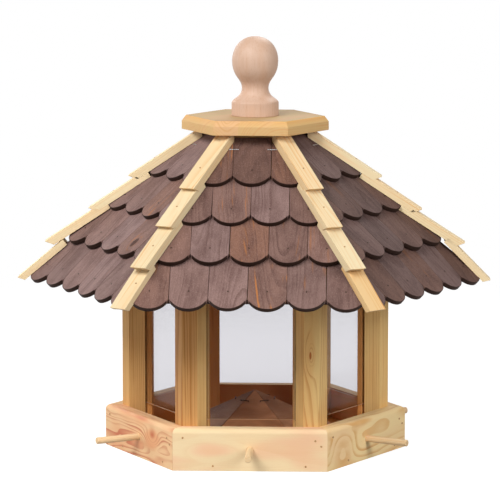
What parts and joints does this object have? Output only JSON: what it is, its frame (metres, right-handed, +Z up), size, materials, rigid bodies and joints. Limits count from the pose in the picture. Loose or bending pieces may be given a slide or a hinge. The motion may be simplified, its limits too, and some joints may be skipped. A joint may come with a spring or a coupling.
{
  "type": "bird feeder",
  "caption": "Hexagonal wooden tray feeder with perches, corner posts and clear panes around a seed silo, under a shingled hip roof with a lift-off cap and turned knob.",
  "frame": {"origin": "centre of the underside of the tray", "axes": "+Z up, the front board faces -Y, +X to the right of the front"},
  "size_m": [0.5744, 0.508, 0.4983],
  "materials": {
    "pine": "planed pine, lightly oiled",
    "stained_shingle": "brown stained shingles with dark rounded ends",
    "spreader_board": "thin dark brown board",
    "beech": "turned and sanded beech",
    "clear_pane": "clear acrylic sheet with sawn edges",
    "steel": "bright wire nails, staples and screws"
  },
  "bodies": {
    "root": {"floor_board": "pine", "rim_board_front": "pine", "rim_board_right_front": "pine", "rim_board_right_back": "pine", "rim_board_back": "pine", "rim_board_left_back": "pine", "rim_board_left_front": "pine", "perch_front": "pine", "perch_right_front": "pine", "perch_right_back": "pine", "perch_back": "pine", "perch_left_back": "pine", "perch_left_front": "pine", "post_front_right": "pine", "post_right": "pine", "post_back_right": "pine", "post_back_left": "pine", "post_left": "pine", "post_front_left": "pine", "pane_front": "clear_pane", "pane_right_front": "clear_pane", "pane_right_back": "clear_pane", "pane_back": "clear_pane", "pane_left_back": "clear_pane", "pane_left_front": "clear_pane", "seed_spreader": "spreader_board", "roof_panel_front": "pine", "roof_panel_right_front": "pine", "roof_panel_right_back": "pine", "roof_panel_back": "pine", "roof_panel_left_back": "pine", "roof_panel_left_front": "pine", "shingles_front": "stained_shingle", "shingles_right_front": "stained_shingle", "shingles_right_back": "stained_shingle", "shingles_back": "stained_shingle", "shingles_left_back": "stained_shingle", "shingles_left_front": "stained_shingle", "hip_rails_front_right": "pine", "hip_rails_right": "pine", "hip_rails_back_right": "pine", "hip_rails_back_left": "pine", "hip_rails_left": "pine", "hip_rails_front_left": "pine", "rim_nails": "steel", "post_screws": "steel", "pane_rest_pins": "steel", "spreader_staples": "steel", "roof_nails": "steel", "shingle_pins": "steel", "shingle_staples": "steel", "rail_pins": "steel"},
    "cap": {"cap_board": "pine", "cap_locating_block": "pine", "knob": "beech", "knob_screw": "steel", "block_screws": "steel"}
  },
  "joints": [
    {"name": "cap_lift", "type": "slide", "parent": "root", "child": "cap", "axis": [0, 0, 1], "range_m": [0, 0.12]}
  ]
}
